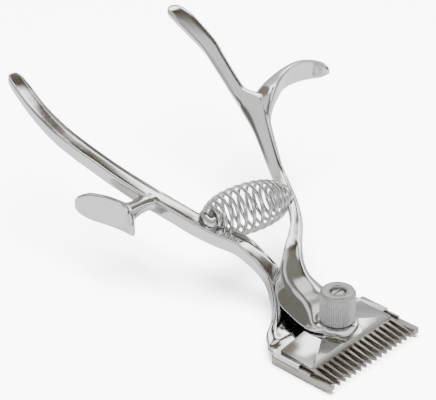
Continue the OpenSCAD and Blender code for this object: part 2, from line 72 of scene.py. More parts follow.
COMB_LOW, COMB_HIGH = low("comb_blade"), high("comb_blade")
CUTTER_LOW, CUTTER_HIGH = low("cutter_blade"), high("cutter_blade")
BRIDGE_LOW, BRIDGE_HIGH = low("bridge_plate"), high("bridge_plate")
NUT_LOW, NUT_HIGH = low("tension_nut"), high("tension_nut")
END_SCREW_LOW, END_SCREW_HIGH = low("stud_end_screw").z, high("stud_end_screw").z

# Heights of the stack: comb, cutter with the handle's shoe beside it, bridge, lever's boss
COMB_TOP = CUTTER_LOW.z - SLIDE_GAP
DECK = BRIDGE_LOW.z - SLIDE_GAP
CUTTER_T = DECK - COMB_TOP
BOSS_LOW = BRIDGE_HIGH.z + SLIDE_GAP
BOSS_TOP = high("drive_pin").z

COMB_W = COMB_HIGH.x - COMB_LOW.x
COMB_FRONT, COMB_REAR = COMB_LOW.y, COMB_HIGH.y
COMB_CORNER_R = 1.2
RAIL_W = 1.0
SHOE_FRONT = -3.4
TOOTH_PITCH = 2.73
TOOTH_LEN = 9.4
TOOTH_W = 1.35
TOOTH_TIP_W = 0.55
# Teeth on each side of the comb's middle tooth, without the guard teeth
SIDE_TEETH = 7
# How far the tips lift off the sole on the comb, and how thick they are left on the cutter
COMB_TIP_LIFT = 1.5
CUTTER_TIP_T = 0.55
CUTTER_SHIFT = (CUTTER_LOW.x + CUTTER_HIGH.x) / 2

COMB_SCREW_X, COMB_SCREW_Y = 13.0, 3.0
COMB_SCREW_R, COMB_SCREW_HEAD_R = 1.5, 2.7
COMB_SCREW_HEAD_Z, COMB_SCREW_CONE_T = 0.15, 1.2

STUD_R = 2.2
STUD_HEAD_R, STUD_HEAD_T = STUD_R + 1, 1.1
END_SCREW_R, END_SCREW_HEAD_R, END_SCREW_HEAD_T = 0.9, 2.4, 1.1
SLOT_W, SLOT_T = 0.6, 0.6
DRIVE_R = 5.4
DRIVE_PIN_R = 1.0
STROKE = DRIVE_R * SQUEEZE
BOSS_R = 7.4
HUB_R = BOSS_R + 0.2
CROWN_HALF_W = 9

NUT_R = (NUT_HIGH.x - NUT_LOW.x) / 2
NUT_CAVITY_R, NUT_CAVITY_H = 4.3, 6.6
RECESS_R = 2.7
FLUTES, FLUTE_DEPTH = 48, 0.28

COIL_MID_R, COIL_END_R = 8.8, 5.0
COIL_TURNS = 11.5
WIRE_R = 0.7
# How much closer the end turns lie, as a share of the spring's length
END_TURN_CLOSING = 0.055
SEAT_R, SEAT_DEPTH = 4.7, 3.4
PEG_R, PEG_SHANK_R, PEG_LEN = 3.9, 1.6, 4.0
SPRING_FIXED_END = Vector((-1.7, 59.6, DECK + 21.9))
SPRING_LEVER_END = Vector((31.2, 53.8, DECK + 20.3))
SPRING_AXIS = (SPRING_LEVER_END - SPRING_FIXED_END).normalized()


# ---------------------------------------------------------------------------
# Camera, floor and lights
# ---------------------------------------------------------------------------


# Reflected surroundings from the horizon up: height of the direction, and colour
STOPS = [
    (0.0, (0.16, 0.16, 0.165)),
    (0.25, (0.10, 0.10, 0.10)),
    (0.45, (0.17, 0.17, 0.17)),
    (0.57, (0.24, 0.24, 0.24)),
    (0.62, (1.1, 1.1, 1.1)),
    (0.665, (0.85, 0.85, 0.83)),
    (0.705, (0.030, 0.025, 0.018)),
    (0.83, (0.020, 0.017, 0.012)),
    (0.90, (0.050, 0.048, 0.040)),
    (1.0, (0.060, 0.058, 0.050)),
]
# Round cards in front of them: direction, cosines of the inner and outer edge, and colour
PANELS = [
    ((-0.045, 0.513, 0.857), 0.975, 0.91, (0.24, 0.24, 0.245)),
    ((0.408, 0.541, 0.735), 0.995, 0.987, (0.9, 0.9, 0.89)),
    ((0.28, 0.74, 0.61), 0.99, 0.978, (0.06, 0.055, 0.045)),
    ((-0.375, 0.65, 0.66), 0.96, 0.93, (0.045, 0.043, 0.038)),
    ((0.534, 0.094, 0.84), 0.992, 0.984, (0.35, 0.35, 0.345)),
]
WORLD_STRENGTH = 6.0
FLOOR_WHITE = (0.93, 0.93, 0.93, 1)
FLOOR_IN_METAL = (0.20, 0.20, 0.205, 1)


def make_camera():
    """A long lens in front of the blades, to their left and above, with a slight roll."""
    data = bpy.data.cameras.new("camera")
    camera = bpy.data.objects.new("camera", data)
    bpy.context.scene.collection.objects.link(camera)
    data.sensor_width = 36
    data.lens = 136.02
    data.clip_start = 0.05
    data.clip_end = 20
    right = Vector((0.69416, -0.71964, -0.01600))
    up = Vector((0.36978, 0.33743, 0.86568))
    back = Vector((-0.61758, -0.60684, 0.50034))
    place = Matrix((right, up, back)).transposed().to_4x4()
    place.translation = Vector((-0.36453, -0.30152, 0.33123))
    camera.matrix_world = place
    bpy.context.scene.camera = camera


def make_overhead_light():
    """Soft square light over the clipper, which the metal doesn't reflect."""
    data = bpy.data.lights.new("overhead", "AREA")
    data.shape = "RECTANGLE"
    data.size, data.size_y = 0.9, 0.9
    data.energy = 120
    light = bpy.data.objects.new("overhead", data)
    bpy.context.scene.collection.objects.link(light)
    place = Vector((0.04, 0.06, 1.0))
    light.location = place
    light.rotation_euler = (Vector((0.04, 0.06, 0)) - place).to_track_quat("-Z", "Y").to_euler()
    light.visible_glossy = False


def make_world():
    """Grey surroundings with a bright band at about 40 degrees, a dim ceiling and the panels."""
    world = bpy.data.worlds.new("studio")
    bpy.context.scene.world = world
    world.use_nodes = True
    nodes, links = world.node_tree.nodes, world.node_tree.links
    nodes.clear()
    coord = nodes.new("ShaderNodeTexCoord")
    split = nodes.new("ShaderNodeSeparateXYZ")
    ramp = nodes.new("ShaderNodeValToRGB")
    shade = nodes.new("ShaderNodeBackground")
    out = nodes.new("ShaderNodeOutputWorld")
    links.new(coord.outputs["Generated"], split.inputs[0])
    links.new(split.outputs["Z"], ramp.inputs[0])
    links.new(shade.outputs[0], out.inputs["Surface"])
    ramp.color_ramp.elements[0].position = STOPS[0][0]
    ramp.color_ramp.elements[1].position = STOPS[-1][0]
    for position, _ in STOPS[1:-1]:
        ramp.color_ramp.elements.new(position)
    for element, (position, colour) in zip(ramp.color_ramp.elements, STOPS):
        element.position = position
        element.color = (*colour, 1)

    last = ramp.outputs[0]
    for centre, near, far, colour in PANELS:
        facing = nodes.new("ShaderNodeVectorMath")
        facing.operation = "DOT_PRODUCT"
        facing.inputs[1].default_value = Vector(centre).normalized()
        links.new(coord.outputs["Generated"], facing.inputs[0])
        edge = nodes.new("ShaderNodeMapRange")
        edge.interpolation_type = "SMOOTHSTEP"
        edge.inputs["From Min"].default_value = far
        edge.inputs["From Max"].default_value = near
        links.new(facing.outputs["Value"], edge.inputs["Value"])
        blend = nodes.new("ShaderNodeMix")
        blend.data_type = "RGBA"
        blend.inputs["B"].default_value = (*colour, 1)
        links.new(edge.outputs[0], blend.inputs["Factor"])
        links.new(last, blend.inputs["A"])
        last = blend.outputs["Result"]
    links.new(last, shade.inputs["Color"])
    shade.inputs["Strength"].default_value = WORLD_STRENGTH


def make_floor():
    bpy.ops.mesh.primitive_plane_add(size=8, location=(0, 0, -0.0002))
    floor = bpy.context.object
    floor.name = "floor"
    material = bpy.data.materials.new("floor_white")
    material.use_nodes = True
    nodes, links = material.node_tree.nodes, material.node_tree.links
    shader = nodes["Principled BSDF"]
    shader.inputs["Base Color"].default_value = FLOOR_WHITE
    shader.inputs["Roughness"].default_value = 0.7
    shader.inputs["Specular IOR Level"].default_value = 0.1
    # The metal sees a dimmer floor than the eye does, so its edges stand out against it
    dim = nodes.new("ShaderNodeBsdfDiffuse")
    dim.inputs["Color"].default_value = FLOOR_IN_METAL
    path = nodes.new("ShaderNodeLightPath")
    choose = nodes.new("ShaderNodeMixShader")
    links.new(path.outputs["Is Glossy Ray"], choose.inputs[0])
    links.new(shader.outputs[0], choose.inputs[1])
    links.new(dim.outputs[0], choose.inputs[2])
    links.new(choose.outputs[0], nodes["Material Output"].inputs["Surface"])
    floor.data.materials.append(material)


make_camera()
make_world()
make_overhead_light()
make_floor()


# ---------------------------------------------------------------------------
# Materials
# ---------------------------------------------------------------------------


def metal(name, colour, dark, roughness, spread, wave, bump, stretch=(1, 1, 1), grain=900.0):
    """Bare or plated metal. Its colour varies a little towards dark and its roughness by spread.
    The surface has a soft wave and a fine grain, and stretch can draw the grain along an axis."""
    material = bpy.data.materials.new(name)
    material.use_nodes = True
    nodes, links = material.node_tree.nodes, material.node_tree.links
    shader = nodes["Principled BSDF"]
    shader.inputs["Metallic"].default_value = 1.0
    coord = nodes.new("ShaderNodeTexCoord")
    mapping = nodes.new("ShaderNodeMapping")
    mapping.inputs["Scale"].default_value = stretch
    links.new(coord.outputs["Object"], mapping.inputs["Vector"])

    blotch = nodes.new("ShaderNodeTexNoise")
    blotch.inputs["Scale"].default_value = 120
    blotch.inputs["Detail"].default_value = 4
    links.new(coord.outputs["Object"], blotch.inputs["Vector"])
    fine = nodes.new("ShaderNodeTexNoise")
    fine.inputs["Scale"].default_value = grain
    fine.inputs["Detail"].default_value = 3
    links.new(mapping.outputs[0], fine.inputs["Vector"])

    tint = nodes.new("ShaderNodeMix")
    tint.data_type = "RGBA"
    tint.inputs["A"].default_value = (*colour, 1)
    tint.inputs["B"].default_value = (*dark, 1)
    fade = nodes.new("ShaderNodeMapRange")
    fade.inputs["From Min"].default_value = 0.45
    fade.inputs["From Max"].default_value = 0.75
    links.new(fine.outputs["Fac"], fade.inputs["Value"])
    links.new(fade.outputs[0], tint.inputs["Factor"])
    links.new(tint.outputs["Result"], shader.inputs["Base Color"])

    rough = nodes.new("ShaderNodeMapRange")
    rough.inputs["From Min"].default_value = 0.3
    rough.inputs["From Max"].default_value = 0.7
    rough.inputs["To Min"].default_value = roughness - spread
    rough.inputs["To Max"].default_value = roughness + spread
    links.new(blotch.outputs["Fac"], rough.inputs["Value"])
    links.new(rough.outputs[0], shader.inputs["Roughness"])

    soft = nodes.new("ShaderNodeBump")
    soft.inputs["Strength"].default_value = wave
    soft.inputs["Distance"].default_value = 0.0004
    links.new(blotch.outputs["Fac"], soft.inputs["Height"])
    sharp = nodes.new("ShaderNodeBump")
    sharp.inputs["Strength"].default_value = bump
    sharp.inputs["Distance"].default_value = 0.00005
    links.new(fine.outputs["Fac"], sharp.inputs["Height"])
    links.new(soft.outputs[0], sharp.inputs["Normal"])
    links.new(sharp.outputs[0], shader.inputs["Normal"])
    return material


PLATED = metal("plated_steel", (0.58, 0.58, 0.575), (0.53, 0.53, 0.525), 0.11, 0.03, 0.08, 0.02)
BLADE = metal(
    "blade_steel", (0.36, 0.34, 0.31), (0.22, 0.205, 0.18), 0.34, 0.07, 0.05, 0.5,
    stretch=(1, 0.06, 1), grain=2600.0,
)
# Turned steel, partly its own darker tone and partly painted shade: the colour is lowered so the
# end screw reads as dark as the shaded recess of the nut round it
TURNED_WITH_PAINTED_SHADE = metal("turned_steel_painted_shade", (0.38, 0.37, 0.355), (0.28, 0.27, 0.255), 0.30, 0.06, 0.05, 0.25)
WIRE = metal("spring_wire", (0.58, 0.58, 0.57), (0.50, 0.50, 0.49), 0.16, 0.05, 0.05, 0.12)
SATIN = metal("satin_nut", (0.42, 0.42, 0.415), (0.33, 0.33, 0.325), 0.46, 0.06, 0.05, 0.45)
BRASS = metal("washer_brass", (0.72, 0.58, 0.32), (0.58, 0.45, 0.22), 0.32, 0.08, 0.05, 0.25)


# ---------------------------------------------------------------------------
# Mesh helpers
# ---------------------------------------------------------------------------


# Points closer than this after a boolean, in metres, are one
WELD = 0.000002
# Radius that stands for the axis of a turned piece, in millimetres
AXIS_R = 0.01


def mark_sharp(mesh, degrees):
    """Smooth faces, with the edges that bend more than degrees kept sharp."""
    bm = bmesh.new()
    bm.from_mesh(mesh)
    limit = math.radians(degrees)
    for face in bm.faces:
        face.smooth = True
    for edge in bm.edges:
        if len(edge.link_faces) == 2:
            edge.smooth = edge.calc_face_angle() < limit
    bm.to_mesh(mesh)
    bm.free()


def object_from(name, vertices, faces, material, sharp=32):
    """A closed mesh object from millimetre points."""
    mesh = bpy.data.meshes.new(name)
    mesh.from_pydata([tuple(c * MM for c in v) for v in vertices], [], faces)
    bm = bmesh.new()
    bm.from_mesh(mesh)
    bmesh.ops.recalc_face_normals(bm, faces=bm.faces)
    bm.to_mesh(mesh)
    bm.free()
    mark_sharp(mesh, sharp)
    made = bpy.data.objects.new(name, mesh)
    bpy.context.scene.collection.objects.link(made)
    mesh.materials.append(material)
    return made


def loft(name, rings, material, sharp=32, closed_ring=False):
    """A skin through rings of equally many points, with flat ends unless closed_ring."""
    sides = len(rings[0])
    count = len(rings)
    vertices = [p for ring in rings for p in ring]
    faces = []
    for i in range(count if closed_ring else count - 1):
        j = (i + 1) % count
        for k in range(sides):
            n = (k + 1) % sides
            faces.append((i * sides + k, i * sides + n, j * sides + n, j * sides + k))
    if not closed_ring:
        faces.append(tuple(range(sides - 1, -1, -1)))
        faces.append(tuple((count - 1) * sides + k for k in range(sides)))
    return object_from(name, vertices, faces, material, sharp)


def lathe(name, profile, material, sides=96, centre=(0, 0), sharp=32, shape=None):
    """A body turned round a vertical axis. profile is closed, a list of (radius, z).
    shape(angle, radius, z) may return a changed radius."""
    rings = []
    for s in range(sides):
        a = 2 * math.pi * s / sides
        ring = []
        for r, z in profile:
            r = shape(a, r, z) if shape else r
            ring.append((centre[0] + r * math.cos(a), centre[1] + r * math.sin(a), z))
        rings.append(ring)
    return loft(name, rings, material, sharp, closed_ring=True)


def apply_modifiers(piece):
    """Replaces the piece's mesh by what its modifiers make of it."""
    graph = bpy.context.evaluated_depsgraph_get()
    mesh = bpy.data.meshes.new_from_object(piece.evaluated_get(graph))
    old = piece.data
    piece.modifiers.clear()
    piece.data = mesh
    bpy.data.meshes.remove(old)


def combine(piece, others, operation, sharp=32):
    """Adds, cuts or intersects with the other closed meshes, and removes them."""
    for other in others:
        change = piece.modifiers.new("combine", "BOOLEAN")
        change.operation = operation
        change.solver = "EXACT"
        change.object = other
        bpy.context.view_layer.update()
        apply_modifiers(piece)
        bpy.data.objects.remove(other)
    bm = bmesh.new()
    bm.from_mesh(piece.data)
    bmesh.ops.remove_doubles(bm, verts=bm.verts, dist=WELD)
    bmesh.ops.dissolve_degenerate(bm, dist=WELD, edges=bm.edges)
    bm.to_mesh(piece.data)
    bm.free()
    mark_sharp(piece.data, sharp)
    return piece


def bevel(piece, width, segments=2, degrees=35, sharp=50):
    """Rounds the edges that bend more than degrees."""
    change = piece.modifiers.new("edges", "BEVEL")
    change.width = width * MM
    change.segments = segments
    change.limit_method = "ANGLE"
    change.angle_limit = math.radians(degrees)
    change.use_clamp_overlap = True
    apply_modifiers(piece)
    mark_sharp(piece.data, sharp)
    return piece


def circle(centre, side, other, radius, sides):
    """Points round a centre, in the plane of the directions side and other."""
    angles = [2 * math.pi * k / sides for k in range(sides)]
    return [centre + radius * (math.cos(a) * side + math.sin(a) * other) for a in angles]


def cylinder(name, start, end, radius, material, sides=64):
    """A round bar between two points."""
    start, end = Vector(start), Vector(end)
    axis = (end - start).normalized()
    side = axis.orthogonal().normalized()
    other = axis.cross(side)
    rings = [circle(centre, side, other, radius, sides) for centre in (start, end)]
    return loft(name, rings, material)


def box_piece(name, corner_low, corner_high, material):
    x0, y0, z0 = corner_low
    x1, y1, z1 = corner_high
    vertices = [(x, y, z) for z in (z0, z1) for x, y in ((x0, y0), (x1, y0), (x1, y1), (x0, y1))]
    faces = [(3, 2, 1, 0), (4, 5, 6, 7), (0, 1, 5, 4), (1, 2, 6, 5), (2, 3, 7, 6), (3, 0, 4, 7)]
    return object_from(name, vertices, faces, material)


def extruded(name, outline, z0, z1, material):
    """A plate with an outline drawn in X and Y."""
    count = len(outline)
    vertices = [(x, y, z0) for x, y in outline] + [(x, y, z1) for x, y in outline]
    faces = [tuple(range(count - 1, -1, -1)), tuple(range(count, 2 * count))]
    faces += [(k, (k + 1) % count, count + (k + 1) % count, count + k) for k in range(count)]
    return object_from(name, vertices, faces, material)


def prism(name, outline, ends, place, material):
    """A straight bar between two ends. place(u, v, end) gives a corner's x, y and z."""
    count = len(outline)
    vertices = [place(u, v, end) for end in ends for u, v in outline]
    faces = [tuple(range(count)), tuple(range(2 * count - 1, count - 1, -1))]
    faces += [(k, count + k, count + (k + 1) % count, (k + 1) % count) for k in range(count)]
    return object_from(name, vertices, faces, material)


def side_profile(name, outline, half_w, material):
    """A bar along X with a profile drawn in Y and Z."""
    return prism(name, outline, (-half_w, half_w), lambda y, z, x: (x, y, z), material)


def mix(a, b, t):
    return a + (b - a) * t


# ---------------------------------------------------------------------------
# Swept bars
# ---------------------------------------------------------------------------


def smooth_rows(rows, steps):
    """Catmull-Rom curve through rows of numbers."""
    rows = np.array(rows, float)
    padded = np.vstack([rows[:1], rows, rows[-1:]])
    found = []
    for i in range(len(rows) - 1):
        p0, p1, p2, p3 = padded[i : i + 4]
        for k in range(steps):
            t = k / steps
            found.append(
                0.5
                * (
                    2 * p1
                    + (p2 - p0) * t
                    + (2 * p0 - 5 * p1 + 4 * p2 - p3) * t**2
                    + (3 * p1 - p0 - 3 * p2 + p3) * t**3
                )
            )
    found.append(rows[-1])
    return np.array(found)


# Half width of a top's channel, as a share of the half width of the bar
CHANNEL_SHARE = 0.84

# A row of a swept bar is x, y, z, width, height, groove, flare, roll, hollow and left. The last
# ones may be missing. groove is the depth of the channel along the top, flare the share by which
# the bottom is wider and the top narrower, roll an angle in degrees, hollow the share by which the
# sides are drawn in, and left the top's own share on the left, which is flare unless it is given.


def section(row, sides, crisp, soft):
    """Points (across, up) of a rounded oblong. crisp sets the corners, from 0 for square to 1 for
    round, and soft the one at the top right."""
    _, _, _, width, height, groove, flare, _, hollow, left = row
    points = []
    for k in range(sides):
        angle = 2 * math.pi * (k + 0.5) / sides
        c, s = math.cos(angle), math.sin(angle)
        corner = soft if c > 0 and s > 0 else crisp
        a = math.copysign(abs(c) ** corner, c)
        b = math.copysign(abs(s) ** corner, s)
        wall = min(1, max(0, (CHANNEL_SHARE - abs(a)) / (1 - CHANNEL_SHARE)))
        dip = wall * wall * (3 - 2 * wall) * groove if b > 0 else 0
        pinch = 1 - hollow * max(0, 1 - (b + 0.1) ** 2)
        spread = 1 - flare * b
        if a < 0:
            spread = mix(1 + flare, 1 - left, max(0, (b + 1) / 2) ** (1 - 0.45 * (left - flare)))
        points.append((a * width / 2 * spread * pinch, b * height / 2 - dip))
    return points


def sweep(name, rows, material, steps=8, sides=64, crisp=0.42, soft=None, sharp=40):
    """A bar along a smooth curve through its rows, with its sections upright before their roll."""
    rows = [list(r) + [0] * (9 - len(r)) for r in rows]
    rows = [r if len(r) == 10 else r + [r[6]] for r in rows]
    at = smooth_rows(rows, steps).tolist()
    rings = []
    last = len(at) - 1
    for i, row in enumerate(at):
        ahead = (Vector(at[min(last, i + 1)][:3]) - Vector(at[max(0, i - 1)][:3])).normalized()
        side = ahead.cross(Vector((0, 0, 1))).normalized()
        up = side.cross(ahead)
        roll = math.radians(row[7])
        turned = math.cos(roll) * side + math.sin(roll) * up
        lifted = math.cos(roll) * up - math.sin(roll) * side
        centre = Vector(row[:3])
        points = section(row, sides, crisp, soft or crisp)
        rings.append([centre + a * turned + b * lifted for a, b in points])
    return loft(name, rings, material, sharp)


# ---------------------------------------------------------------------------
# Rows of the handles
# ---------------------------------------------------------------------------

NECK_Y = 33
NECK_W = 8
FIXED_W, FIXED_H = 6.8, 6.4
LEVER_W, LEVER_H = 6.0, 4.4
TANG_T, TANG_H = 2.8, 9.0
REST_T, REST_H = 2.2, 12.5


def fan_y(share):
    """Between the comb's rear edge and the neck."""
    return mix(COMB_REAR, NECK_Y, share)


def fan_w(share):
    """Between the neck's width and the comb's."""
    return mix(NECK_W, COMB_W, share)


# The fixed handle spreads over the comb, narrows to its neck and rises along the grip
FIXED_ROWS = [
    [0, COMB_REAR - 4, COMB_TOP + CUTTER_T / 2, COMB_W - 1.6, CUTTER_T - 0.4, 0, 0, 0],
    [0, COMB_REAR - 0.8, COMB_TOP + CUTTER_T / 2, COMB_W - 1.2, CUTTER_T - 0.2, 0, 0, 0],
    [0.1, COMB_REAR + 0.8, COMB_TOP + CUTTER_T / 2 + 0.3, COMB_W - 3, CUTTER_T + 0.4, 0.3, 0, 0],
    [0.4, fan_y(0.15), DECK - 0.25, fan_w(0.78), 2.9, 0.7, 0, 0],
    [1.2, fan_y(0.32), DECK + 0.85, fan_w(0.5), 3.6, 1, 0, 0],
    [2.2, fan_y(0.53), DECK + 2.4, fan_w(0.29), 4.4, 1.2, 0, 0],
    [3, fan_y(0.77), DECK + 4.7, fan_w(0.13), 5.2, 1, 0, 0],
    [3.4, NECK_Y, DECK + 7.1, NECK_W, 5.2, 0.7, 0, 0],
    [3.5, 37.7, DECK + 9.6, 7.0, 5, 0.5, 0, 0],
    [3, 42, DECK + 12.15, 7.4, 5.1, 0.9, 0, 0],
    [1.6, 47.6, DECK + 15.2, 7.6, 6, 1.6, 0, 0],
    [-2, 54.6, DECK + 17.8, 8, 6.2, 1.3, 0, 0],
    [-5, 62.8, DECK + 20.3, 7.2, FIXED_H, 0.7, 0, 0],
    [-6.1, 70.4, DECK + 22, FIXED_W, FIXED_H, 0.5, 0, 0],
    [-7.4, 79.2, DECK + 23.9, FIXED_W + 0.2, FIXED_H, 0.6, 0, 0],
    [-8.6, 88, DECK + 25.8, FIXED_W + 0.2, FIXED_H, 1, 0, 0],
    [-9.6, 99.8, DECK + 28.4, FIXED_W, FIXED_H, 1.1, 0, 0],
    [-10.2, 108.6, DECK + 30.6, FIXED_W - 0.3, FIXED_H, 1.1, 0, 0],
    [-10.8, 118.4, DECK + 33.2, FIXED_W, 6.2, 1.1, 0, 0],
    [-10.5, 130.2, DECK + 36, 6.8, 5.8, 1.1, 0, 0],
    [-8.5, 143.8, DECK + 39.6, 6.6, 5, 1, 0, 0],
    [-4.9, 157.4, DECK + 43.2, 6.6, 4.2, 0.9, 0, 0],
    [-3.2, 163.6, DECK + 45, 5.8, 3.6, 0.6, 0, 0],
    [-2.5, 166.2, DECK + 46, 3.6, 2.4, 0.1, 0, 0],
    [-2.4, 166.8, DECK + 46.2, 1.6, 1.1, 0, 0, 0],
]
# The lever's bell rises from the boss and turns aside over the fixed handle's neck
LEVER_ROWS = [
    [0, -1, BOSS_LOW + 1.5, 2 * BOSS_R - 0.8, 3, 0, 0.02, 0, 0, 0.02],
    [0, 3.5, BOSS_LOW + 1.5, 2 * BOSS_R + 4.4, 3, 0, 0.03, 0, 0, 0.10],
    [0.3, 8, BOSS_LOW + 2.4, 20.6, 4.4, 0, 0.06, 0, 0, 0.44],
    [1, 13, BOSS_LOW + 3.4, 20, 4.9, 0, 0.14, 0, 0.04, 0.62],
    [2.2, 18.5, BOSS_LOW + 4.75, 17.6, 5.2, 0, 0.26, 0, 0.06, 0.58],
    [4.6, 24, BOSS_LOW + 6.8, 13, 5.7, 0, 0.22, 0, 0.05, 0.30],
    [8.4, 28.2, BOSS_LOW + 9.5, 9, 5.6, 0, 0.12, 0, 0.03, 0.14],
    [12.8, 31.8, DECK + 14.4, 6.8, 5, 0.1, 0.04, 0, 0],
    [18, 35.6, DECK + 15.4, 5.4, 4.8, 0.2, 0, 0, 0],
    [24.6, 40.8, DECK + 16.4, 4.8, 5, 0.3, 0, 0, 0],
    [31.4, 48.4, DECK + 17.8, 4.4, 5.2, 0.2, 0, 6, 0],
    [36.6, 56.7, DECK + 19.7, 4.8, 5, 0.1, 0, 12, 0],
    [41, 64.5, DECK + 21.4, LEVER_W - 0.4, LEVER_H + 0.2, 0.1, 0, 18, 0],
    [45.5, 71.5, DECK + 23.4, LEVER_W - 0.2, LEVER_H + 0.1, 0.1, 0, 22, 0],
    [55.0, 85.6, DECK + 28.15, LEVER_W + 1.6, LEVER_H, 0, 0, 22, 0],
    [61.6, 96.4, DECK + 32.35, LEVER_W + 4.8, LEVER_H, 0, 0, 22, 0],
    [62.9, 102.4, DECK + 33.25, LEVER_W + 1.9, LEVER_H, 0, 0, 22, 0],
    [64.4, 108, DECK + 34.3, LEVER_W, LEVER_H, 0.1, 0, 22, 0],
    [71.4, 125, DECK + 39.6, LEVER_W + 0.2, 4.1, 0.1, 0, 22, 0],
    [75, 134, DECK + 42.5, 6.9, 3.9, 0.1, 0, 18, 0],
    [77.9, 149, DECK + 47.4, 8.1, 3.5, 0.1, 0, 12, 0],
    [78.6, 155.4, DECK + 49.35, 7.9, 3, 0, 0, 8, 0],
    [78.8, 158.6, DECK + 50.2, 6.3, 2.4, 0, 0, 6, 0],
    [78.7, 160.2, DECK + 50.6, 3.2, 1.4, 0, 0, 4, 0],
]
TANG_ROWS = [
    [52.4, 81.1, DECK + 27.0, 3.4, 3.2, 0, 0, 18],
    [55.6, 85.3, DECK + 28.4, 5.4, 3.8, 0, 0, 18],
    [59.5, 90.4, DECK + 30.5, 8.0, 4.2, 0, 0, 18],
    [63.9, 93.8, DECK + 32.6, 9.2, 5.0, 0, 0, 16],
    [71.1, 96.9, DECK + 34.3, 7.6, TANG_H * 0.72, 0, 0, 9],
    [81.8, 100.7, DECK + 34.4, TANG_T + 1.6, TANG_H * 0.88, 0, 0, 0, 0.2],
    [89.3, 102.0, DECK + 34.2, TANG_T + 0.6, TANG_H * 0.97, 0, 0, 0, 0.35],
    [95.0, 101.6, DECK + 34.0, TANG_T + 0.3, TANG_H, 0, 0, 0, 0.4],
    [99.1, 99.7, DECK + 33.8, TANG_T - 0.1, TANG_H * 0.94, 0, 0, 0, 0.35],
    [101.7, 96.6, DECK + 33.8, TANG_T - 0.4, TANG_H * 0.78, 0, 0, 0],
    [102.6, 94.5, DECK + 33.8, TANG_T - 0.8, TANG_H * 0.54, 0, 0, 0],
    [102.5, 92.7, DECK + 33.8, TANG_T * 0.5, TANG_H * 0.26, 0, 0, 0],
]
THUMB_ROWS = [
    [-23.2, 108.4, DECK + 19, REST_T * 0.5, REST_H * 0.3],
    [-22.4, 106.8, DECK + 19, REST_T * 0.8, REST_H * 0.62],
    [-20.4, 102.6, DECK + 19, REST_T, REST_H * 0.92],
    [-18.4, 96, DECK + 19, REST_T, REST_H],
    [-18, 89.4, DECK + 19.4, REST_T, REST_H],
    [-19.2, 83.2, DECK + 20.4, REST_T, REST_H * 0.96],
    [-21.6, 79, DECK + 21.4, REST_T * 0.8, REST_H * 0.7],
    [-22.6, 77.6, DECK + 21.8, REST_T * 0.5, REST_H * 0.36],
]
STEM_ROWS = [
    [-8.4, 82.4, DECK + 24.8, 11, 5],
    [-10.6, 82.5, DECK + 24.7, 8.6, 5],
    [-13, 82.8, DECK + 24.4, 6.4, 4.9],
    [-16.0, 83.8, DECK + 23.5, 6.4, 5.4],
    [-17.6, 84.6, DECK + 22.8, 8.0, 6.4],
    [-18.8, 85.1, DECK + 22.3, 10.5, 8],
]


# ---------------------------------------------------------------------------
# Pieces
# ---------------------------------------------------------------------------


def spring_seat(name, end, outward):
    """Round boss from the spring's end outwards into the handle, with a domed far side."""
    side = outward.orthogonal().normalized()
    other = outward.cross(side)
    rings = []
    dome = ((0, 0.94), (0.3, 1), (1.2, 0.98), (2.1, 0.88), (2.8, 0.68), (SEAT_DEPTH, 0.4))
    for depth, share in dome:
        rings.append(circle(end + depth * outward, side, other, share * SEAT_R, 48))
    return loft(name, rings, PLATED, 50)


def make_fixed_handle():
    """One forging: the shoe on the comb, the bar, and the thumb rest on its stem."""
    half = COMB_W / 2 - 0.2
    piece = sweep("fixed_handle_forging", FIXED_ROWS, PLATED, crisp=0.4)
    shoe_rear = COMB_REAR - COMB_CORNER_R
    shoe = box_piece("shoe", (-half, SHOE_FRONT, COMB_TOP), (half, shoe_rear, DECK), PLATED)
    rest = sweep("rest", THUMB_ROWS, PLATED, crisp=0.62)
    stem = sweep("stem", STEM_ROWS, PLATED, crisp=0.75)
    seat = spring_seat("seat", SPRING_FIXED_END, -SPRING_AXIS)
    combine(piece, [shoe, rest, stem, seat], "UNION")
    bore = cylinder("bore", (0, 0, COMB_TOP - 1), (0, 0, DECK + 1), STUD_R, PLATED)
    combine(piece, [bore], "DIFFERENCE", sharp=38)
    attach(piece, "frame")
    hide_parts("fixed_handle")


def make_lever():
    """One forging: the boss round the stud, the bar, and the finger tang."""
    piece = sweep("lever_forging", LEVER_ROWS, PLATED, crisp=0.4, soft=0.7)
    profile = [
        (AXIS_R, BOSS_LOW), (BOSS_R - 0.3, BOSS_LOW), (BOSS_R, BOSS_LOW + 0.3),
        (BOSS_R, BOSS_TOP - 0.7), (BOSS_R - 0.2, BOSS_TOP - 0.2), (BOSS_R - 0.7, BOSS_TOP),
        (AXIS_R, BOSS_TOP),
    ]
    boss = lathe("boss", profile, PLATED)
    tang = sweep("tang", TANG_ROWS, PLATED, crisp=0.5)
    seat = spring_seat("lever_seat", SPRING_LEVER_END, SPRING_AXIS)
    combine(piece, [boss, tang, seat], "UNION")
    under, over = BOSS_LOW - 1, BOSS_TOP + 1
    cut = [
        cylinder("nut_room", (0, 0, BOSS_TOP), (0, 0, BOSS_TOP + 20), NUT_R + 0.4, PLATED, 96),
        cylinder("bore", (0, 0, under), (0, 0, over), STUD_R + TURN_FIT, PLATED),
        cylinder("pin_bore", (0, -DRIVE_R, under), (0, -DRIVE_R, over), DRIVE_PIN_R, PLATED),
    ]
    combine(piece, cut, "DIFFERENCE", sharp=38)
    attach(piece, "lever")
    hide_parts("moving_lever")


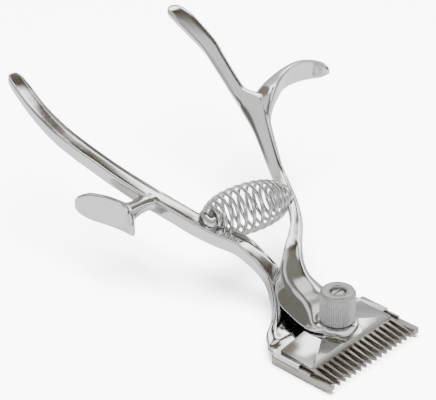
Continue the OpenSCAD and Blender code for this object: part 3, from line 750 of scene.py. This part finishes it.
def make_spring():
    """Barrel spring of round wire, with its end turns closed."""
    across = SPRING_AXIS.cross(Vector((0, 0, 1))).normalized()
    upward = across.cross(SPRING_AXIS)
    seat_gap = 0.2
    start = SPRING_FIXED_END + (WIRE_R + seat_gap) * SPRING_AXIS
    length = (SPRING_LEVER_END - SPRING_FIXED_END).length - 2 * (WIRE_R + seat_gap)
    steps, sides = 40, 16
    count = int(COIL_TURNS * steps)
    rings = []
    centres = []
    for i in range(count + 1):
        u = i / count
        angle = 2 * math.pi * i / steps
        radius = mix(COIL_END_R, COIL_MID_R, math.sin(math.pi * u) ** 0.8)
        out = math.cos(angle) * across + math.sin(angle) * upward
        along = u - END_TURN_CLOSING * math.sin(2 * math.pi * u)
        centres.append((start + along * length * SPRING_AXIS + radius * out, out))
    for i, (centre, out) in enumerate(centres):
        ahead = (centres[min(count, i + 1)][0] - centres[max(0, i - 1)][0]).normalized()
        up = ahead.cross(out).normalized()
        rings.append(circle(centre, up.cross(ahead), up, WIRE_R, sides))
    piece = loft("barrel_spring_wire", rings, WIRE, 60)
    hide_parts("barrel_spring")
    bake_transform(piece)


def tooth_outline(x, root_y, tip_y, root_w, tip_w=TOOTH_TIP_W):
    """Points round one tooth's tip from its left root to its right root."""
    points = [(x - root_w / 2, root_y)]
    tip_r = tip_w / 2
    for k in range(7):
        a = math.pi + math.pi * k / 6
        points.append((x + tip_r * math.cos(a), tip_y + tip_r + tip_r * math.sin(a)))
    points.append((x + root_w / 2, root_y))
    return points


def make_comb():
    """Comb blade with its guard teeth, side rails, and rooms for the stud's and screws' heads."""
    half = COMB_W / 2
    gap = TOOTH_PITCH - TOOTH_W
    root_y = COMB_FRONT + TOOTH_LEN
    guard_inner = SIDE_TEETH * TOOTH_PITCH + TOOTH_W / 2 + gap
    guard_w = half - guard_inner
    outline = tooth_outline(-half + guard_w / 2, root_y, COMB_FRONT, guard_w, guard_w)
    for i in range(-SIDE_TEETH, SIDE_TEETH + 1):
        outline += tooth_outline(i * TOOTH_PITCH, root_y, COMB_FRONT, TOOTH_W)
    outline += tooth_outline(half - guard_w / 2, root_y, COMB_FRONT, guard_w, guard_w)
    for side, first in ((1, 0), (-1, 90)):
        for k in range(6):
            a = math.radians(first + 90 * k / 5)
            x = side * (half - COMB_CORNER_R) + COMB_CORNER_R * math.cos(a)
            outline.append((x, COMB_REAR - COMB_CORNER_R + COMB_CORNER_R * math.sin(a)))
    piece = extruded("comb_blade_ground", outline, 0, COMB_TOP, BLADE)

    ahead, tip_z = COMB_FRONT - 1, COMB_TOP - COMB_TIP_LIFT
    profile = [(root_y, -1), (ahead, -1), (ahead, tip_z), (COMB_FRONT, tip_z), (root_y, 0)]
    combine(piece, [side_profile("wedge", profile, half + 1, BLADE)], "DIFFERENCE")

    rails = []
    for s in (-1, 1):
        middle = s * (half - RAIL_W / 2)
        rail_low = (middle - RAIL_W / 2, root_y, COMB_TOP - 0.2)
        rail_high = (middle + RAIL_W / 2, SHOE_FRONT - SLIDE_GAP, COMB_HIGH.z)
        rails.append(box_piece("rail", rail_low, rail_high, BLADE))
    combine(piece, rails, "UNION")

    over = COMB_TOP + 1
    profile = [
        (AXIS_R / 10, -1), (COMB_SCREW_HEAD_R, -1), (COMB_SCREW_HEAD_R, COMB_SCREW_HEAD_Z),
        (COMB_SCREW_R, COMB_SCREW_HEAD_Z + COMB_SCREW_CONE_T), (COMB_SCREW_R, over),
        (AXIS_R / 10, over),
    ]
    cut = [cylinder("head_room", (0, 0, COMB_TOP - STUD_HEAD_T), (0, 0, over), STUD_HEAD_R, BLADE)]
    for x in (-COMB_SCREW_X, COMB_SCREW_X):
        cut.append(lathe("screw_room", profile, BLADE, 48, (x, COMB_SCREW_Y)))
    combine(piece, cut, "DIFFERENCE")
    bevel(piece, 0.09, 2, 30)
    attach(piece, "frame")
    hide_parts("comb_blade")


def make_cutter():
    """Cutter blade, with one tooth more than the comb has between its guards."""
    tip_y = CUTTER_LOW.y
    root_y = COMB_FRONT + TOOTH_LEN
    half = (SIDE_TEETH + 0.5) * TOOTH_PITCH + TOOTH_W / 2
    outline = []
    for i in range(-SIDE_TEETH - 1, SIDE_TEETH + 1):
        outline += tooth_outline(CUTTER_SHIFT + (i + 0.5) * TOOTH_PITCH, root_y, tip_y, TOOTH_W)
    outline += [(CUTTER_SHIFT + half, CUTTER_HIGH.y), (CUTTER_SHIFT - half, CUTTER_HIGH.y)]
    piece = extruded("cutter_blade_ground", outline, CUTTER_LOW.z, CUTTER_HIGH.z, BLADE)

    slope_y, tip_z, over = BRIDGE_LOW.y - 0.5, CUTTER_LOW.z + CUTTER_TIP_T, CUTTER_HIGH.z + 1
    profile = [
        (slope_y, over), (slope_y, CUTTER_HIGH.z),
        (tip_y, tip_z), (tip_y - 1, tip_z), (tip_y - 1, over),
    ]
    combine(piece, [side_profile("over", profile, COMB_W, BLADE)], "DIFFERENCE")
    bevel(piece, 0.08, 2, 30)
    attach(piece, "cutter")
    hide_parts("cutter_blade")


def bridge_slope(name, depth):
    """Bar along X whose top slopes up from the bridge's front edge over depth."""
    y, z = BRIDGE_LOW.y, BRIDGE_LOW.z
    rear, top = BRIDGE_HIGH.y, BRIDGE_HIGH.z
    nose_y, nose_z = y + 0.7, z + 1.3
    profile = [
        (rear, z), (y, z), (y, z + 0.3), (nose_y, nose_z), (nose_y + depth, top), (rear, top),
    ]
    return side_profile(name, profile, COMB_W, PLATED)


def make_bridge():
    """Bridge plate: sloped wings and front, a round hub, and slots for the stud and the pin."""
    z, top = BRIDGE_LOW.z, BRIDGE_HIGH.z
    half, edge_z = (BRIDGE_HIGH.x - BRIDGE_LOW.x) / 2, BRIDGE_LOW.z + 0.9
    outline = [
        (-half, z), (half, z), (half, edge_z),
        (CROWN_HALF_W, top), (-CROWN_HALF_W, top), (-half, edge_z),
    ]
    ends = (BRIDGE_LOW.y, BRIDGE_HIGH.y)
    piece = prism("bridge_casting", outline, ends, lambda x, h, y: (CUTTER_SHIFT + x, y, h), PLATED)
    combine(piece, [bridge_slope("slope", 5.8)], "INTERSECT")
    hub = lathe("hub", [(AXIS_R, z), (HUB_R + 2.2, z), (HUB_R, top), (AXIS_R, top)], PLATED)
    combine(hub, [bridge_slope("slope", 2.6)], "INTERSECT")
    combine(piece, [hub], "UNION")

    # The stud's slot runs along the stroke, the drive pin's along its rise and fall
    under, over = z - 1, top + 1
    r = STUD_R + TURN_FIT
    left, right = -STROKE - 4 * TURN_FIT, 2 * TURN_FIT
    slots = [cylinder("slot", (x, 0, under), (x, 0, over), r, PLATED) for x in (left, right)]
    slots.append(box_piece("slot", (left, -r, under), (right, r, over), PLATED))
    r = DRIVE_PIN_R + TURN_FIT
    for y in (-DRIVE_R - TURN_FIT, -DRIVE_R * math.cos(SQUEEZE) + TURN_FIT):
        slots.append(cylinder("slot", (0, y, under), (0, y, over), r, PLATED))
    combine(piece, slots, "DIFFERENCE")
    bevel(piece, 0.28, 3, 8, sharp=60)
    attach(piece, "cutter")
    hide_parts("bridge_plate")


def make_nut():
    """Knurled nut: fine upright flutes, a chamfered rim and a recess round the stud's end."""
    z, top = NUT_LOW.z, NUT_HIGH.z
    bore_r, bore_z = STUD_R + TURN_FIT, z + NUT_CAVITY_H
    recess_z = END_SCREW_HIGH - END_SCREW_HEAD_T - 0.1
    profile = [
        (bore_r, bore_z), (NUT_CAVITY_R, bore_z), (NUT_CAVITY_R, z), (NUT_R - 0.35, z),
        (NUT_R, z + 0.35), (NUT_R, z + 0.8), (NUT_R, z + 4), (NUT_R, z + 8), (NUT_R, top - 1.1),
        (NUT_R - 0.12, top - 0.85), (NUT_R - 0.30, top - 0.6), (NUT_R - 0.50, top - 0.22),
        (NUT_R - 0.85, top),
        (RECESS_R + 0.3, top), (RECESS_R, top - 0.3), (RECESS_R, recess_z), (bore_r, recess_z),
    ]

    def flutes(angle, radius, _):
        if radius < NUT_R - 0.01:
            return radius
        return radius - FLUTE_DEPTH * (0.5 - 0.5 * math.cos(FLUTES * angle)) ** 0.8

    sides = FLUTES * 10
    piece = lathe("tension_nut_knurled", profile, SATIN, sides=sides, sharp=50, shape=flutes)
    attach(piece, "nut")
    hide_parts("tension_nut")


def make_end_screw():
    """Slotted screw in the stud's end, seen in the nut's recess."""
    base, top = END_SCREW_LOW, END_SCREW_HIGH
    head_z, head_r = top - END_SCREW_HEAD_T, END_SCREW_HEAD_R
    profile = [
        (AXIS_R, base), (END_SCREW_R, base), (END_SCREW_R, head_z), (head_r - 0.15, head_z),
        (head_r, head_z + 0.15), (head_r, top - 0.35), (head_r - 0.2, top - 0.1),
        (head_r - 0.6, top), (AXIS_R, top),
    ]
    # The screw's darkened turned-steel colour is painted shade standing for the nut's shaded recess
    piece = lathe("stud_end_screw_turned", profile, TURNED_WITH_PAINTED_SHADE, sides=64)
    slot = box_piece("slot", (-4, -SLOT_W / 2, top - SLOT_T), (4, SLOT_W / 2, top + 1), TURNED_WITH_PAINTED_SHADE)
    combine(piece, [slot], "DIFFERENCE")
    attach(piece, "frame")
    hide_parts("stud_end_screw")


def make_pegs():
    """The two pegs that hold the spring's ends, each with a shank in its handle."""
    for node, body, end, outward in (
        ("fixed_spring_peg", "frame", SPRING_FIXED_END, -SPRING_AXIS),
        ("lever_spring_peg", "lever", SPRING_LEVER_END, SPRING_AXIS),
    ):
        piece = cylinder(node + "_turned", end, end - PEG_LEN * outward, PEG_R, PLATED)
        bevel(piece, 0.5, 3)
        inner, outer = end - 0.6 * outward, end + SEAT_DEPTH * outward
        shank = cylinder("shank", inner, outer, PEG_SHANK_R, PLATED)
        combine(piece, [shank], "UNION")
        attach(piece, body)
        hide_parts(node)


def finish_cad_nodes():
    """Materials for the nodes that are shown as the CAD made them."""
    looks = {
        "comb_screws": TURNED_WITH_PAINTED_SHADE,
        "pivot_stud": TURNED_WITH_PAINTED_SHADE,
        "thrust_washer": BRASS,
        "pressure_spring": WIRE,
        "drive_pin": TURNED_WITH_PAINTED_SHADE,
        "cutter_rivets": TURNED_WITH_PAINTED_SHADE,
    }
    for node, material in looks.items():
        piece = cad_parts[node]
        piece.data.materials.clear()
        piece.data.materials.append(material)


make_fixed_handle()
make_lever()
make_spring()
make_comb()
make_cutter()
make_bridge()
make_nut()
make_end_screw()
make_pegs()
finish_cad_nodes()
